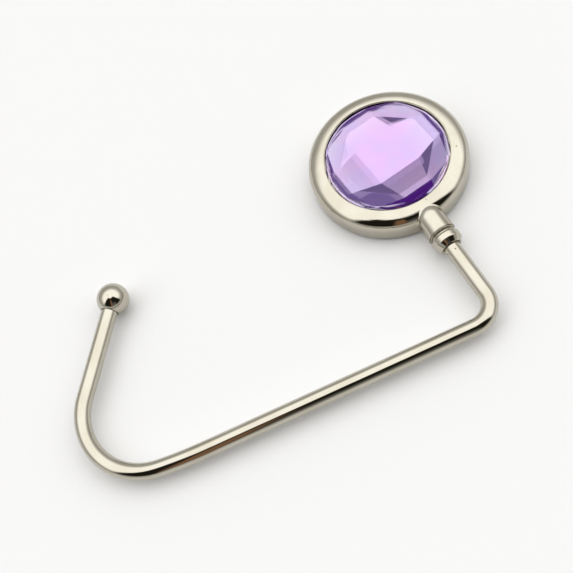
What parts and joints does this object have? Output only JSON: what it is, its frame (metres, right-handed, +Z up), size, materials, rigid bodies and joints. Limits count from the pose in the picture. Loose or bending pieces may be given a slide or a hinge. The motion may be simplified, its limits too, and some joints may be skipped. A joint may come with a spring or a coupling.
{
  "type": "purse hook",
  "caption": "Table hook for a handbag: a round cast head with a faceted stone and a rubber grip pad, and a bent metal hook that swivels in its neck.",
  "frame": {"origin": "middle of the grip pad's face, where the head rests on a table", "axes": "+Z up through the stone, +X out along the neck's swivel axis, and the hook lies flat towards -Y"},
  "size_m": [0.0698, 0.1166, 0.008],
  "materials": {
    "head_plating": "polished nickel plating on zinc",
    "ferrule_plating": "polished nickel plating on turned steel",
    "bar_plating": "polished nickel plating on steel",
    "stone": "clear violet acrylic, polished facets",
    "foil": "silver mirror foil",
    "adhesive": "clear epoxy",
    "grip_rubber": "matt",
    "tape": "white foam tape",
    "spring_steel": "bright rolled",
    "nylon": "natural white"
  },
  "bodies": {
    "head": {"head_casting": "head_plating", "stone": "stone", "stone_foil": "foil", "stone_adhesive": "adhesive", "grip_pad": "grip_rubber", "pad_tape": "tape", "swivel_ferrule": "ferrule_plating", "wave_washer": "spring_steel", "thrust_washer": "nylon"},
    "hook": {"hook_bar": "bar_plating", "ball_tip": "bar_plating"}
  },
  "joints": [
    {"name": "hook_swivel", "type": "hinge", "parent": "head", "child": "hook", "pos_m": [0.027, 0, 0.004], "axis": [1, 0, 0], "continuous": true}
  ]
}
